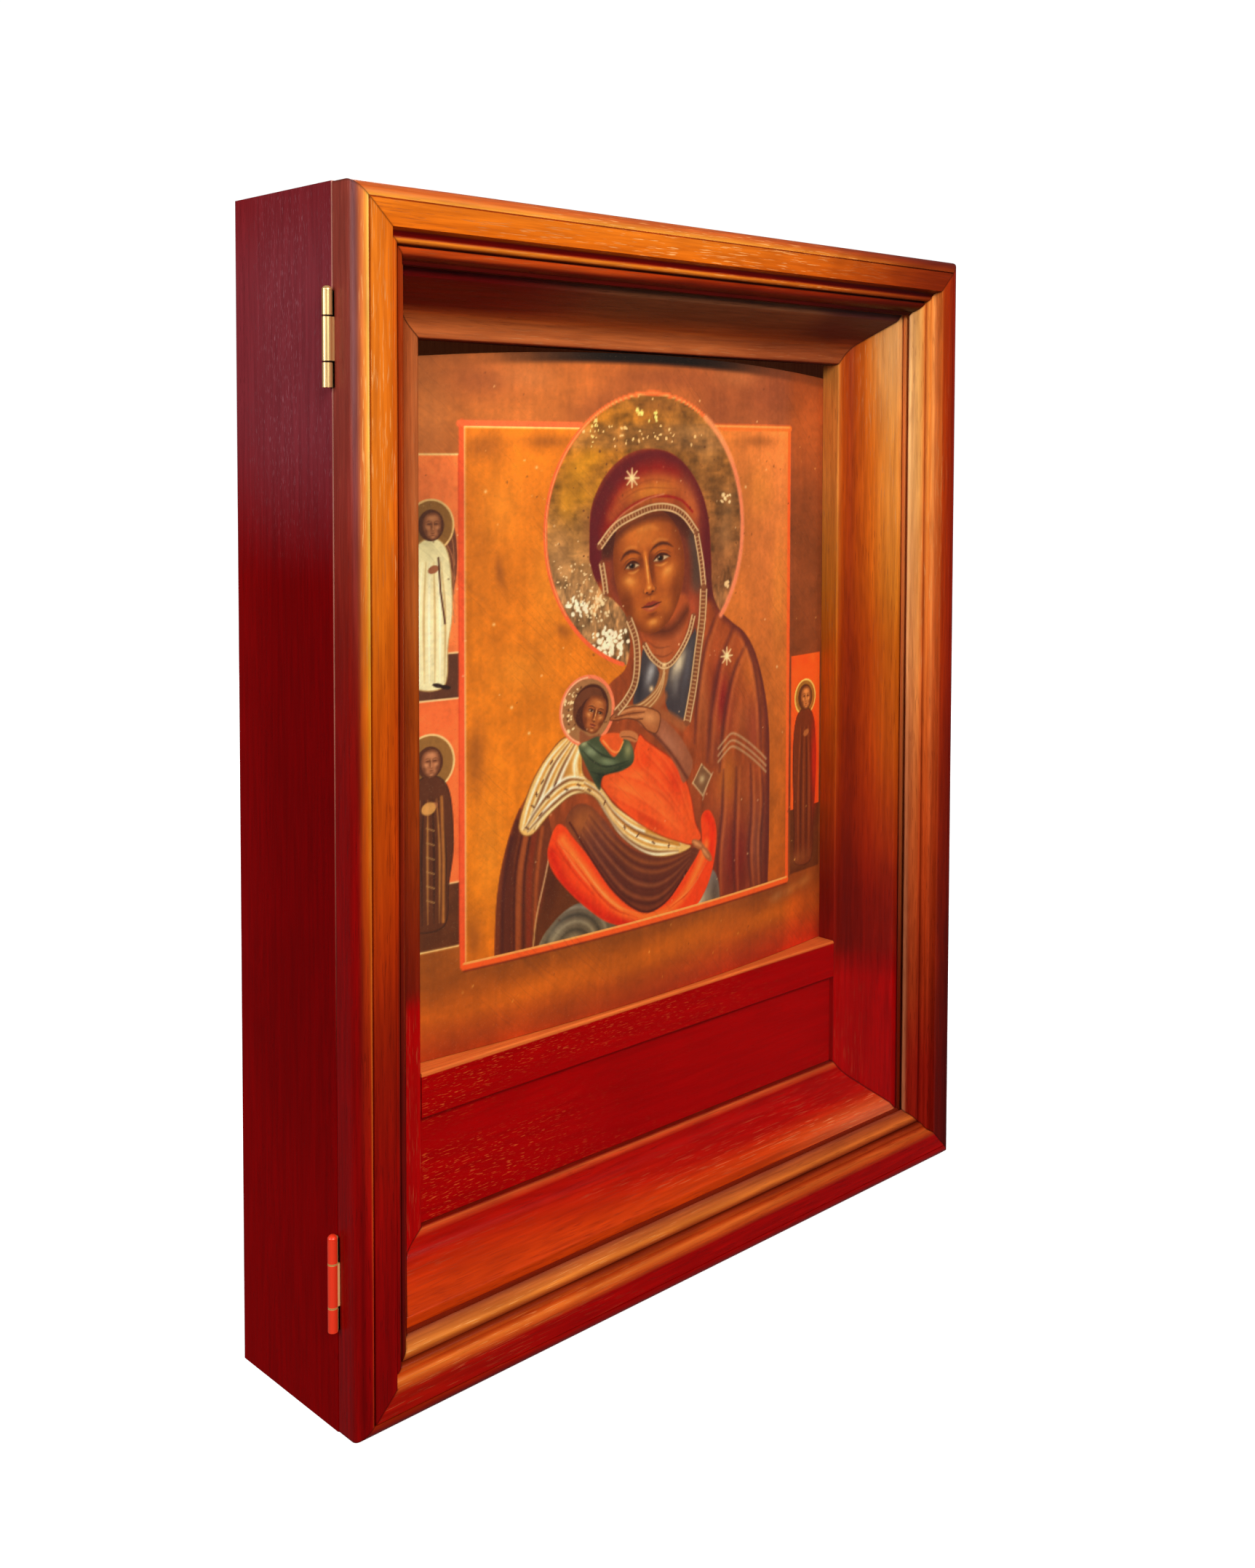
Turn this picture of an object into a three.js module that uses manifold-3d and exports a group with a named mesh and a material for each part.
// A glazed icon case: a wooden box with a hinged, moulded door, a splayed inner frame and an old bowed
// icon board. Millimetres, +Z up. The front faces -Y and the hinges are on the -X side. The origin is the
// middle of the case's underside.

import * as THREE from 'three';
import { mergeVertices } from 'three/addons/utils/BufferGeometryUtils.js';
import Module from 'manifold-3d';

const wasm = await Module();
wasm.setup();

// Overall sizes
const caseWidth = 367;
const caseHeight = 467;
const overallDepth = 85;

// Clearances and cutting allowances
const seatGap = 0.3;
const glazingGap = 0.1;
const cutOverrun = 2;
const weldTolerance = 0.0005;
const curveSteps = 6;

// Case boards
const boardThickness = 12;
const boardArris = 0.8;
const backThickness = 4;
const backRebateWidth = 8;

// Door
const doorThickness = 15;
const doorGap = 0.5;
const doorEndClearance = 0.4;
const doorFaceWidth = 28.1;
const doorSideFlat = 8.6;
const doorLipDepth = 11.5;
const glassRebateWidth = 4.1;
const glassThickness = 2;
const glassEdgeClearance = 0.4;
const glazingStripWidth = 3.9;

// The door's moulded face, outer edge first: each point is a share of the face width and of the lip depth
const roundOverShare = [0.195, 0.03];
const quirkShares = [[0.205, 0.03], [0.213, 0.1], [0.224, 0.1], [0.231, 0]];
const bandEndShare = [0.569, 0];
const coveShares = { start: [0.587, 0.24], bend: [0.592, 0.37], end: [0.676, 0.385] };
const smallBeadShares = { start: [0.678, 0.362], bend: [0.745, 0.318], end: [0.762, 0.49] };
const grooveShares = [[0.765, 0.59], [0.782, 0.59]];
const largeBeadShares = { start: [0.79, 0.5], bend: [0.9, 0.53], end: [0.945, 0.885] };
const lipShares = [[0.95, 0.905], [1, 0.955]];

// Splayed inner frame: its sight edge lies this far inside the case's outline
const sightInset = 53.4;
const innerFrameRecess = 0.5;
const innerBandWidth = 8.2;
const innerBandDepth = 20.9;
const innerSplayRun = 13.6;
const innerFrameDepth = 31;
const innerCoveReach = 4.2;
const innerNose = 0.8;

// Cross rail under the icon, and the panel below it
const crossRailTop = 116.8;
const crossRailHeight = 19;
const crossRailDepth = 25;
const crossRailLug = 20;
const crossRailNose = 0.6;
const lowerPanelRecess = 2.6;
const lowerPanelThickness = 6;

// Icon board, its battens and the clamps that hold it
const iconStileOverlap = 3.9;
const iconThickness = 20;
const iconBow = 8.9;
const iconArchRise = 6.5;
const iconTopGap = 0.9;
const iconBowSteps = 24;
const battenWidth = 34;
const battenThickness = 12;
const battenEndInset = 2;
const battenFlare = 2.5;
const battenGrooveDepth = 6;
const battenPlaceShares = [0.2, 0.8];
const clampBattenClearance = 9.18;
const clampFootWidth = 15.6;
const clampArmReach = 8;
const clampArmThickness = 6.6;
const clampScrewEndInset = 20;

// Hinges
const hingeLength = 35.3;
const hingeEndDistance = 57.5;
const hingeAxisOffset = 2.3;
const knuckleRadius = 1.9;
const knuckleGap = 0.3;
const middleKnuckleShare = 0.464;
const leafThickness = 1;
const leafReach = 12.3;
const pinRadius = 0.9;
const pinBoreRadius = 1.2;
const pinHeadRadius = 1.9;
const pinHeadHeight = 1.6;
const hingeScrewSpacing = 22;

// Screws: head radius, head height, shank radius and length
const hingeScrew = { headRadius: 1.9, headHeight: 1, shankRadius: 0.9, length: 9 };
const clampScrew = { headRadius: 3, headHeight: 2, shankRadius: 1.5, length: 35 };
const backScrew = { headRadius: 2.2, headHeight: 1.4, shankRadius: 1.1, length: 14 };
const screwTipShare = 0.2;
const screwSides = 12;
const backScrewEndInset = 60;

// Magnetic catches
const magnetRadius = 4;
const magnetDepth = 5;
const strikeThickness = 1.2;
const catchHeightShares = [0.26, 0.74];
const roundSides = 24;

// Places worked out from the sizes
const caseDepth = overallDepth - doorThickness - doorGap;
const caseFront = -caseDepth / 2;
const caseBack = caseDepth / 2;
const doorBack = caseFront - doorGap;
const doorFront = doorBack - doorThickness;
const insideHalfWidth = caseWidth / 2 - boardThickness;
const insideHeight = caseHeight - 2 * boardThickness;
const innerFrameWidth = sightInset - boardThickness - seatGap;
const sightHalfWidth = caseWidth / 2 - sightInset;
const iconWidth = 2 * (sightHalfWidth + iconStileOverlap);
const bandFront = caseFront + innerBandDepth;
const innerFrameBack = caseFront + innerFrameDepth;
const hingeAxisX = -caseWidth / 2 - hingeAxisOffset;
const hingeAxisY = caseFront - doorGap / 2;
const hingeHeights = [hingeEndDistance, caseHeight - hingeEndDistance];

// Materials
const lacqueredWood = new THREE.MeshStandardMaterial({ color: 0x7d1610, roughness: 0.28, metalness: 0 });
const mouldedWood = new THREE.MeshStandardMaterial({ color: 0xa8501c, roughness: 0.25, metalness: 0 });
const linerWood = new THREE.MeshStandardMaterial({ color: 0x9a3a16, roughness: 0.35, metalness: 0 });
const rawWood = new THREE.MeshStandardMaterial({ color: 0xa9814f, roughness: 0.75, metalness: 0 });
const agedWood = new THREE.MeshStandardMaterial({ color: 0x8a5026, roughness: 0.5, metalness: 0 });
const clearGlass = new THREE.MeshStandardMaterial({
  color: 0xdfe8e6, roughness: 0.03, metalness: 0, transparent: true, opacity: 0.2,
});
const brass = new THREE.MeshStandardMaterial({ color: 0xc9a24a, roughness: 0.25, metalness: 1 });
const steel = new THREE.MeshStandardMaterial({ color: 0x9a9a9c, roughness: 0.35, metalness: 1 });

// Adds a named mesh to a group.
function addPiece(group, name, geometry, material) {
  const mesh = new THREE.Mesh(geometry, material);
  mesh.name = name;
  group.add(mesh);
  return mesh;
}

// Turns a closed geometry into a solid that can be cut and joined.
function solidOf(geometry) {
  const bare = geometry.clone();
  bare.deleteAttribute('normal');
  bare.deleteAttribute('uv');
  const welded = mergeVertices(bare, weldTolerance);
  const corners = welded.index.array;
  const triangles = [];
  for (let i = 0; i < corners.length; i += 3) {
    const [a, b, c] = [corners[i], corners[i + 1], corners[i + 2]];
    if (a !== b && b !== c && c !== a) triangles.push(a, b, c);
  }
  return new wasm.Manifold(new wasm.Mesh({
    numProp: 3,
    vertProperties: new Float32Array(welded.attributes.position.array),
    triVerts: new Uint32Array(triangles),
  }));
}

// Turns a solid back into a geometry.
function geometryOf(solid) {
  const mesh = solid.getMesh();
  const geometry = new THREE.BufferGeometry();
  geometry.setAttribute('position', new THREE.BufferAttribute(mesh.vertProperties, mesh.numProp));
  geometry.setIndex(new THREE.BufferAttribute(mesh.triVerts, 1));
  return geometry;
}

// Cuts pieces given in the object's own frame out of a placed mesh.
function carve(mesh, cutters) {
  mesh.updateWorldMatrix(true, false);
  const toMesh = mesh.matrixWorld.clone().invert();
  let solid = solidOf(mesh.geometry);
  for (const cutter of cutters) {
    solid = solid.subtract(solidOf(cutter.clone().applyMatrix4(toMesh)));
  }
  mesh.geometry = geometryOf(solid);
}

// A box from its lowest to its highest corner.
function boxBetween(low, high) {
  const size = high.map((value, i) => value - low[i]);
  const middle = high.map((value, i) => (value + low[i]) / 2);
  return new THREE.BoxGeometry(...size).translate(...middle);
}

// Draws a rounded corner: reach is how far from the corner the curve starts and ends.
function roundedCorner(shape, before, corner, after, reach) {
  const from = new THREE.Vector2(...corner);
  const start = new THREE.Vector2(...before).sub(from).setLength(reach).add(from);
  const end = new THREE.Vector2(...after).sub(from).setLength(reach).add(from);
  shape.lineTo(start.x, start.y);
  shape.quadraticCurveTo(from.x, from.y, end.x, end.y);
}

function extrude(shape, depth, curveSegments = curveSteps) {
  return new THREE.ExtrudeGeometry(shape, { depth, bevelEnabled: false, curveSegments });
}

// Screws and pins are turned about local Y, with the head's face at zero and the tip below it.
function screwGeometry({ headRadius, headHeight, shankRadius, length }) {
  const tip = length * screwTipShare;
  const outline = [
    new THREE.Vector2(0, -length),
    new THREE.Vector2(shankRadius, -length + tip),
    new THREE.Vector2(shankRadius, -headHeight),
    new THREE.Vector2(headRadius, 0),
    new THREE.Vector2(0, 0),
  ];
  return new THREE.LatheGeometry(outline, screwSides);
}

// The hole a screw needs: its own outline with a clearance all round, open above the head.
function screwHole({ headRadius, headHeight, shankRadius, length }) {
  const outline = [
    new THREE.Vector2(0, -length - seatGap),
    new THREE.Vector2(shankRadius + seatGap, -length - seatGap),
    new THREE.Vector2(shankRadius + seatGap, -headHeight - seatGap),
    new THREE.Vector2(headRadius + seatGap, 0),
    new THREE.Vector2(headRadius + seatGap, cutOverrun),
    new THREE.Vector2(0, cutOverrun),
  ];
  return new THREE.LatheGeometry(outline, screwSides);
}

// One mitred member of a frame. The profile is drawn as distance in from the outer edge and distance back
// from the front. Local X runs along the member, local Y back and local Z inwards.
function mitredMember(profile, length) {
  const geometry = extrude(profile, length);
  const place = geometry.attributes.position;
  for (let i = 0; i < place.count; i += 1) {
    const shortening = place.getX(i) + seatGap / 2;
    const along = place.getZ(i) < length / 2 ? shortening : length - shortening;
    place.setZ(i, along - length / 2);
  }
  const turn = new THREE.Matrix4().makeBasis(
    new THREE.Vector3(0, 0, 1), new THREE.Vector3(0, 1, 0), new THREE.Vector3(-1, 0, 0));
  return geometry.applyMatrix4(turn);
}

// Four mitred members round a rectangle, centred in X and Z.
function mitredFrame(group, names, profile, width, height, material) {
  const layout = [
    { name: names[0], length: width, turn: 0, place: [0, 0, -height / 2] },
    { name: names[1], length: width, turn: Math.PI, place: [0, 0, height / 2] },
    { name: names[2], length: height, turn: Math.PI / 2, place: [-width / 2, 0, 0] },
    { name: names[3], length: height, turn: -Math.PI / 2, place: [width / 2, 0, 0] },
  ];
  const members = {};
  for (const { name, length, turn, place } of layout) {
    const member = addPiece(group, name, mitredMember(profile, length), material);
    member.rotation.y = turn;
    member.position.set(...place);
    members[name] = member;
  }
  return members;
}

// Case boards

// A board stands with its thickness along +X and its depth along +Y, and is centred in Z.
function boardGeometry(length) {
  const shape = new THREE.Shape();
  shape.moveTo(boardThickness, 0);
  shape.lineTo(boardThickness, caseDepth);
  roundedCorner(shape, [boardThickness, caseDepth], [0, caseDepth], [0, 0], boardArris);
  roundedCorner(shape, [0, caseDepth], [0, 0], [boardThickness, 0], boardArris);
  shape.closePath();
  return extrude(shape, length).translate(0, 0, -length / 2);
}

// The top and bottom boards stand between the sides, and one rebate for the back runs round all four.
function buildCaseBoards(group) {
  const between = 2 * insideHalfWidth;
  const layout = [
    { name: 'case_left_side', length: caseHeight, turn: 0, x: -caseWidth / 2, z: caseHeight / 2 },
    { name: 'case_right_side', length: caseHeight, turn: Math.PI, x: caseWidth / 2, z: caseHeight / 2 },
    { name: 'case_bottom_board', length: between, turn: -Math.PI / 2, x: 0, z: 0 },
    { name: 'case_top_board', length: between, turn: Math.PI / 2, x: 0, z: caseHeight },
  ];
  const rebateInset = boardThickness - backRebateWidth;
  const rebate = boxBetween(
    [rebateInset - caseWidth / 2, caseBack - backThickness - seatGap, rebateInset],
    [caseWidth / 2 - rebateInset, caseBack + cutOverrun, caseHeight - rebateInset]);
  const boards = layout.map(({ name, length, turn, x, z }) => {
    const board = addPiece(group, name, boardGeometry(length), lacqueredWood);
    board.rotation.y = turn;
    board.position.set(x, caseFront, z);
    carve(board, [rebate]);
    return board;
  });

  const panelInset = rebateInset + seatGap;
  const panel = addPiece(group, 'back_panel', boxBetween(
    [panelInset - caseWidth / 2, caseBack - backThickness, panelInset],
    [caseWidth / 2 - panelInset, caseBack, caseHeight - panelInset]), rawWood);
  return { left: boards[0], right: boards[1], all: [...boards, panel] };
}

// Back panel screws go through the panel's edge into the shoulder of the rebate.
function backScrewPlaces() {
  const lineInset = boardThickness - backRebateWidth / 2;
  const sideX = caseWidth / 2 - lineInset;
  const heights = [backScrewEndInset, caseHeight / 2, caseHeight - backScrewEndInset];
  const places = [];
  for (const z of heights) places.push([-sideX, z], [sideX, z]);
  places.push([0, lineInset], [0, caseHeight - lineInset]);
  return places;
}

// Splayed inner frame

function innerFrameProfile() {
  const shape = new THREE.Shape();
  const bandStart = innerFrameWidth - innerBandWidth;
  const splayTop = [bandStart - innerSplayRun, innerFrameRecess];
  const splayFoot = [bandStart, innerBandDepth];
  const sightFront = [innerFrameWidth, innerBandDepth];
  const sightBack = [innerFrameWidth, innerFrameDepth];
  shape.moveTo(0, innerFrameRecess);
  shape.lineTo(...splayTop);
  roundedCorner(shape, splayTop, splayFoot, sightFront, innerCoveReach);
  roundedCorner(shape, splayFoot, sightFront, sightBack, innerNose);
  shape.lineTo(...sightBack);
  shape.lineTo(0, innerFrameDepth);
  shape.closePath();
  return shape;
}

function buildInnerFrame(group) {
  const frame = new THREE.Group();
  frame.position.set(0, caseFront, caseHeight / 2);
  group.add(frame);
  const names = ['inner_frame_bottom_rail', 'inner_frame_top_rail',
    'inner_frame_left_stile', 'inner_frame_right_stile'];
  return mitredFrame(frame, names, innerFrameProfile(),
    2 * (insideHalfWidth - seatGap), insideHeight - 2 * seatGap, linerWood);
}

// The cross rail fits between the stiles and hooks behind them with a lug at each end.
function buildCrossRail(group) {
  const halfFront = sightHalfWidth - seatGap;
  const halfBack = sightHalfWidth + crossRailLug;
  const lugFront = innerFrameBack + seatGap;
  const back = bandFront + crossRailDepth;
  const plan = new THREE.Shape();
  plan.moveTo(-halfFront, bandFront);
  plan.lineTo(halfFront, bandFront);
  plan.lineTo(halfFront, lugFront);
  plan.lineTo(halfBack, lugFront);
  plan.lineTo(halfBack, back);
  plan.lineTo(-halfBack, back);
  plan.lineTo(-halfBack, lugFront);
  plan.lineTo(-halfFront, lugFront);
  plan.closePath();
  const rail = addPiece(group, 'cross_rail', extrude(plan, crossRailHeight), linerWood);
  rail.position.z = crossRailTop - crossRailHeight;

  // The two long front arrises are taken off at forty-five degrees.
  const arrises = [crossRailTop, crossRailTop - crossRailHeight].map((z) => {
    const side = crossRailNose * Math.SQRT2;
    const bar = new THREE.BoxGeometry(2 * halfBack, side, side);
    return bar.rotateX(Math.PI / 4).translate(0, bandFront, z);
  });
  carve(rail, arrises);
}

// The panel fills the space between the inner frame's bottom rail and the cross rail.
function buildLowerPanel(group) {
  const front = bandFront + lowerPanelRecess;
  const halfWidth = sightHalfWidth - seatGap;
  const panel = boxBetween(
    [-halfWidth, front, sightInset + seatGap],
    [halfWidth, front + lowerPanelThickness, crossRailTop - crossRailHeight - seatGap]);
  addPiece(group, 'lower_panel', panel, lacqueredWood);
}

// Icon board

const iconEdgeFront = innerFrameBack + 2 * seatGap;
const iconMiddleFront = iconEdgeFront - iconBow;

// How far back the board's front lies at a place across it.
function iconFrontAt(x) {
  const share = x / (iconWidth / 2);
  return iconMiddleFront + iconBow * share * share;
}

// The plan of a bowed strip: bowed like the board, between two offsets behind the board's front.
function bowedPlan(halfWidth, nearOffset, farOffset) {
  const shape = new THREE.Shape();
  for (let i = 0; i <= iconBowSteps; i += 1) {
    const x = halfWidth * (2 * i / iconBowSteps - 1);
    const y = iconFrontAt(x) + nearOffset;
    if (i === 0) shape.moveTo(x, y);
    else shape.lineTo(x, y);
  }
  for (let i = iconBowSteps; i >= 0; i -= 1) {
    const x = halfWidth * (2 * i / iconBowSteps - 1);
    shape.lineTo(x, iconFrontAt(x) + farOffset);
  }
  shape.closePath();
  return shape;
}

const iconFoot = crossRailTop + seatGap;
const iconTop = caseHeight - sightInset - iconTopGap;

// The board is a bowed plank whose top edge rises slightly to the middle.
function buildIconBoard(group) {
  const halfWidth = iconWidth / 2;
  const height = iconTop - iconFoot;
  const plank = extrude(bowedPlan(halfWidth, 0, iconThickness), height).translate(0, 0, iconFoot);
  const face = new THREE.Shape();
  const beyond = halfWidth + cutOverrun;
  face.moveTo(-beyond, iconFoot - cutOverrun);
  face.lineTo(beyond, iconFoot - cutOverrun);
  face.lineTo(beyond, iconTop - iconArchRise);
  face.quadraticCurveTo(0, iconTop + iconArchRise, -beyond, iconTop - iconArchRise);
  face.closePath();
  const depth = iconBow + iconThickness + 2 * cutOverrun;
  const cutter = extrude(face, depth, iconBowSteps)
    .rotateX(Math.PI / 2)
    .translate(0, iconMiddleFront - cutOverrun + depth, 0);
  const board = solidOf(plank).intersect(solidOf(cutter));
  return addPiece(group, 'icon_board', geometryOf(board), agedWood);
}

// A bowed strip whose front edge, the one let into the board, is wider than its back edge.
function dovetailStrip(halfWidth, nearOffset, thickness, width) {
  const geometry = extrude(bowedPlan(halfWidth, nearOffset, nearOffset + thickness), width);
  const place = geometry.attributes.position;
  for (let i = 0; i < place.count; i += 1) {
    const behind = place.getY(i) - iconFrontAt(place.getX(i)) - nearOffset;
    const flare = battenFlare * (1 - behind / thickness);
    const end = place.getZ(i) < width / 2 ? -1 : 1;
    place.setZ(i, place.getZ(i) - width / 2 + end * flare);
  }
  return geometry;
}

// The two battens slide into dovetailed grooves across the board's back.
function buildBattens(group, board) {
  const near = iconThickness - battenGrooveDepth;
  const names = ['icon_lower_batten', 'icon_upper_batten'];
  battenPlaceShares.forEach((share, i) => {
    const z = iconFoot + share * (iconTop - iconFoot);
    const strip = dovetailStrip(iconWidth / 2 - battenEndInset, near + seatGap, battenThickness, battenWidth);
    addPiece(group, names[i], strip, rawWood).position.z = z;
    const groove = dovetailStrip(iconWidth / 2 + cutOverrun, near, battenThickness + seatGap,
      battenWidth + 2 * seatGap);
    carve(board, [groove.translate(0, 0, z)]);
  });
}

// The clamps stand in the space between the two battens.
const battenSpacing = (battenPlaceShares[1] - battenPlaceShares[0]) * (iconTop - iconFoot);
const clampLength = battenSpacing - battenWidth - 2 * (battenFlare + clampBattenClearance);
const clampScrewSpacing = clampLength - 2 * clampScrewEndInset;

// A clamp stands beside the board on the inner frame's back, and its arm reaches over the board's back.
function clampPlan(side) {
  const footInner = iconWidth / 2 + seatGap;
  const footOuter = footInner + clampFootWidth;
  const armInner = iconWidth / 2 - clampArmReach;
  const footFront = innerFrameBack + seatGap;
  const armFront = iconEdgeFront + iconThickness + seatGap;
  const back = armFront + clampArmThickness;
  const outline = [
    [footInner, footFront], [footOuter, footFront], [footOuter, back],
    [armInner, back], [armInner, armFront], [footInner, armFront],
  ];
  return new THREE.Shape(outline.map(([x, y]) => new THREE.Vector2(side * x, y)));
}

function buildClamps(group, stiles) {
  const middle = (iconFoot + iconTop) / 2;
  const screwX = iconWidth / 2 + seatGap + clampFootWidth / 2;
  const headY = iconEdgeFront + iconThickness + seatGap + clampArmThickness;
  for (const [word, side] of [['left', -1], ['right', 1]]) {
    const clamp = addPiece(group, `icon_${word}_clamp`, extrude(clampPlan(side), clampLength), rawWood);
    clamp.position.z = middle - clampLength / 2;
    const holes = [];
    for (const [place, step] of [['lower', -1], ['upper', 1]]) {
      const at = [side * screwX, headY, middle + step * clampScrewSpacing / 2];
      const screw = addPiece(group, `${word}_clamp_${place}_screw`, screwGeometry(clampScrew), steel);
      screw.position.set(...at);
      holes.push(screwHole(clampScrew).translate(...at));
    }
    carve(clamp, holes);
    carve(stiles[word], holes);
  }
}

// Door

function sharedPoint(share) {
  return [share[0] * doorFaceWidth, share[1] * doorLipDepth];
}

// The door member's section, drawn from the back outer corner round the moulded face to the rebate.
function doorProfile() {
  const shape = new THREE.Shape();
  const flatEnd = doorThickness - doorSideFlat;
  const [roundX, roundY] = sharedPoint(roundOverShare);
  shape.moveTo(0, doorThickness);
  shape.lineTo(0, flatEnd);
  shape.absellipse(roundX, flatEnd, roundX, flatEnd - roundY, Math.PI, 1.5 * Math.PI, false, 0);
  for (const share of quirkShares) shape.lineTo(...sharedPoint(share));
  shape.lineTo(...sharedPoint(bandEndShare));
  for (const { start, bend, end } of [coveShares, smallBeadShares]) {
    shape.lineTo(...sharedPoint(start));
    shape.quadraticCurveTo(...sharedPoint(bend), ...sharedPoint(end));
  }
  for (const share of grooveShares) shape.lineTo(...sharedPoint(share));
  shape.lineTo(...sharedPoint(largeBeadShares.start));
  shape.quadraticCurveTo(...sharedPoint(largeBeadShares.bend), ...sharedPoint(largeBeadShares.end));
  for (const share of lipShares) shape.lineTo(...sharedPoint(share));
  shape.lineTo(doorFaceWidth, doorLipDepth);
  shape.lineTo(doorFaceWidth - glassRebateWidth, doorLipDepth);
  shape.lineTo(doorFaceWidth - glassRebateWidth, doorThickness);
  shape.closePath();
  return shape;
}

function buildDoorFrame(group) {
  const height = caseHeight - 2 * doorEndClearance;
  const frame = new THREE.Group();
  frame.position.set(0, doorFront, caseHeight / 2);
  group.add(frame);
  const names = ['door_bottom_rail', 'door_top_rail', 'door_left_stile', 'door_right_stile'];
  return mitredFrame(frame, names, doorProfile(), caseWidth, height, mouldedWood);
}

// The pane and its four strips lie in the rebate behind the lip.
function buildGlazing(group) {
  const rebateInset = doorFaceWidth - glassRebateWidth;
  const halfWidth = caseWidth / 2 - rebateInset - glassEdgeClearance;
  const halfHeight = caseHeight / 2 - doorEndClearance - rebateInset - glassEdgeClearance;
  const paneFront = doorFront + doorLipDepth + glazingGap;
  const pane = boxBetween(
    [-halfWidth, paneFront, caseHeight / 2 - halfHeight],
    [halfWidth, paneFront + glassThickness, caseHeight / 2 + halfHeight]);
  addPiece(group, 'glass_pane', pane, clearGlass);

  const stripFront = paneFront + glassThickness + glazingGap;
  const stripDepth = doorBack - stripFront;
  const section = new THREE.Shape([
    new THREE.Vector2(0, 0), new THREE.Vector2(glazingStripWidth, 0),
    new THREE.Vector2(glazingStripWidth, stripDepth), new THREE.Vector2(0, stripDepth),
  ]);
  const frame = new THREE.Group();
  frame.position.set(0, stripFront, caseHeight / 2);
  group.add(frame);
  const names = ['glazing_strip_bottom', 'glazing_strip_top', 'glazing_strip_left', 'glazing_strip_right'];
  const edge = glassEdgeClearance - glazingGap;
  mitredFrame(frame, names, section, 2 * (halfWidth + edge), 2 * (halfHeight + edge), linerWood);
}

// Hinges

// One leaf with its knuckles, in hinge coordinates: the pin stands on Z, the plate runs towards +X, and
// side is +1 for the leaf on the case and -1 for the one on the door.
function leafGeometry(side, knuckles) {
  const faceY = side * doorGap / 2;
  const farY = faceY + side * leafThickness;
  const low = Math.min(faceY, farY);
  const high = Math.max(faceY, farY);
  let leaf = solidOf(boxBetween(
    [hingeAxisOffset, low, -hingeLength / 2], [leafReach, high, hingeLength / 2]));
  for (const [from, to] of knuckles) {
    const barrel = new THREE.CylinderGeometry(knuckleRadius, knuckleRadius, to - from, roundSides)
      .rotateX(Math.PI / 2)
      .translate(0, 0, (from + to) / 2);
    const tab = boxBetween([0, low, from], [hingeAxisOffset + seatGap, high, to]);
    leaf = leaf.add(solidOf(barrel)).add(solidOf(tab));
  }
  const boreLength = hingeLength + 2 * cutOverrun;
  const bore = new THREE.CylinderGeometry(pinBoreRadius, pinBoreRadius, boreLength, roundSides)
    .rotateX(Math.PI / 2);
  return geometryOf(leaf.subtract(solidOf(bore)));
}

function knuckleSpans() {
  const half = hingeLength / 2;
  const middle = half * middleKnuckleShare;
  return {
    door: [[-middle, middle]],
    case: [[-half, -middle - knuckleGap], [middle + knuckleGap, half]],
  };
}

// The pin fills the barrel and ends in a domed head above it.
function pinGeometry() {
  const half = hingeLength / 2;
  const neck = half + glazingGap;
  const dome = Array.from({ length: curveSteps }, (_, i) => {
    const angle = i * Math.PI / 2 / curveSteps;
    return new THREE.Vector2(pinHeadRadius * Math.cos(angle), neck + pinHeadHeight * Math.sin(angle));
  });
  const outline = [
    new THREE.Vector2(0, -half), new THREE.Vector2(pinRadius, -half), new THREE.Vector2(pinRadius, neck),
    ...dome, new THREE.Vector2(0, neck + pinHeadHeight),
  ];
  return new THREE.LatheGeometry(outline, roundSides).rotateX(Math.PI / 2);
}

// The hollow a leaf is let into: the plate's own box with a clearance at its seat, ends and inner edge.
function leafMortise(side, z) {
  const faceY = hingeAxisY + side * doorGap / 2;
  const seatY = faceY + side * (leafThickness + seatGap);
  const openY = faceY - side * cutOverrun;
  return boxBetween(
    [hingeAxisX, Math.min(openY, seatY), z - hingeLength / 2 - seatGap],
    [hingeAxisX + leafReach + seatGap, Math.max(openY, seatY), z + hingeLength / 2 + seatGap]);
}

function buildHinges(caseGroup, doorGroup, caseSide, doorStile) {
  const spans = knuckleSpans();
  const screwX = hingeAxisX + (hingeAxisOffset + leafReach) / 2;
  const cuts = { case: [], door: [] };
  hingeHeights.forEach((z, i) => {
    const level = ['lower', 'upper'][i];
    for (const [owner, side, group] of [['case', 1, caseGroup], ['door', -1, doorGroup]]) {
      const leaf = addPiece(group, `${level}_hinge_${owner}_leaf`, leafGeometry(side, spans[owner]), brass);
      leaf.position.set(hingeAxisX, hingeAxisY, z);
      cuts[owner].push(leafMortise(side, z));
      const holes = [];
      for (const [place, step] of [['bottom', -1], ['top', 1]]) {
        const at = [screwX, hingeAxisY + side * doorGap / 2, z + step * hingeScrewSpacing / 2];
        const screw = addPiece(group, `${level}_hinge_${owner}_${place}_screw`,
          screwGeometry(hingeScrew), brass);
        screw.rotation.x = side > 0 ? Math.PI : 0;
        screw.position.set(...at);
        holes.push(screwHole(hingeScrew).rotateX(screw.rotation.x).translate(...at));
      }
      carve(leaf, holes);
      cuts[owner].push(...holes);
    }
    const pin = addPiece(caseGroup, `${level}_hinge_pin`, pinGeometry(), brass);
    pin.position.set(hingeAxisX, hingeAxisY, z);
  });
  carve(caseSide, cuts.case);
  carve(doorStile, cuts.door);
}

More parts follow.
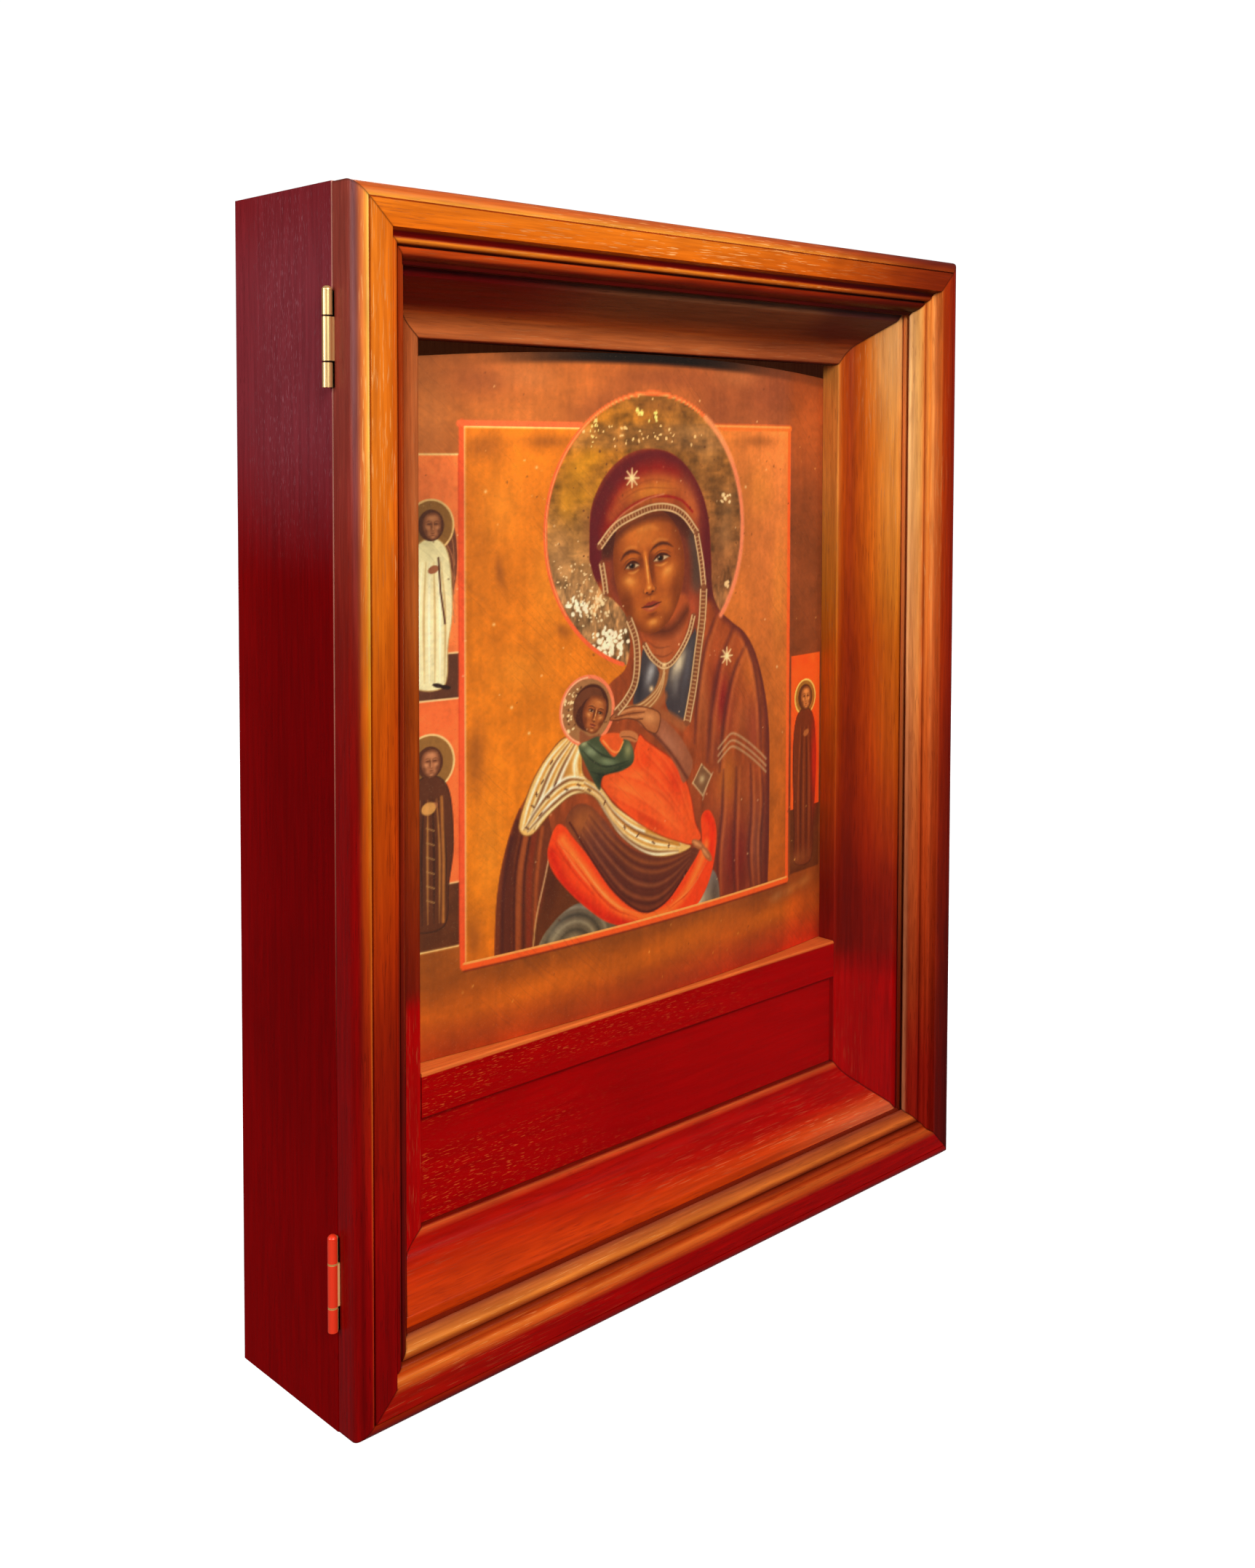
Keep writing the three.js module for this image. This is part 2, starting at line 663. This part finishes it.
// Catches: a magnet let into the case's front edge and a steel disc let into the door's back.
function buildCatches(caseGroup, doorGroup, caseSide, doorStile) {
  const x = caseWidth / 2 - boardThickness / 2;
  const caseHoles = [];
  const doorHoles = [];
  catchHeightShares.forEach((share, i) => {
    const level = ['lower', 'upper'][i];
    const z = share * caseHeight;
    const magnet = addPiece(caseGroup, `${level}_catch_magnet`,
      new THREE.CylinderGeometry(magnetRadius, magnetRadius, magnetDepth, roundSides), steel);
    magnet.position.set(x, caseFront + magnetDepth / 2, z);
    const strike = addPiece(doorGroup, `${level}_catch_strike`,
      new THREE.CylinderGeometry(magnetRadius, magnetRadius, strikeThickness, roundSides), steel);
    strike.position.set(x, doorBack - strikeThickness / 2, z);
    caseHoles.push(blindHole(x, caseFront, z, magnetDepth));
    doorHoles.push(blindHole(x, doorBack, z, -strikeThickness));
  });
  carve(caseSide, caseHoles);
  carve(doorStile, doorHoles);
}

// A round hole from a face at y, depth going back when it is positive.
function blindHole(x, y, z, depth) {
  const direction = Math.sign(depth);
  const length = Math.abs(depth) + seatGap + cutOverrun;
  const radius = magnetRadius + seatGap;
  const middle = y + direction * (length / 2 - cutOverrun);
  return new THREE.CylinderGeometry(radius, radius, length, roundSides).translate(x, middle, z);
}

// Assembly
const caseGroup = new THREE.Group();
const doorGroup = new THREE.Group();
const iconCase = new THREE.Group();
iconCase.add(caseGroup, doorGroup);

const boards = buildCaseBoards(caseGroup);
const innerFrame = buildInnerFrame(caseGroup);
buildCrossRail(caseGroup);
buildLowerPanel(caseGroup);
buildBattens(caseGroup, buildIconBoard(caseGroup));
buildClamps(caseGroup, {
  left: innerFrame.inner_frame_left_stile,
  right: innerFrame.inner_frame_right_stile,
});

const backHoles = backScrewPlaces().map(([x, z], i) => {
  const screw = addPiece(caseGroup, `back_screw_${i + 1}`, screwGeometry(backScrew), steel);
  screw.position.set(x, caseBack, z);
  return screwHole(backScrew).translate(x, caseBack, z);
});
for (const board of boards.all) carve(board, backHoles);

const doorFrame = buildDoorFrame(doorGroup);
buildGlazing(doorGroup);
buildHinges(caseGroup, doorGroup, boards.left, doorFrame.door_left_stile);
buildCatches(caseGroup, doorGroup, boards.right, doorFrame.door_right_stile);

export default iconCase;
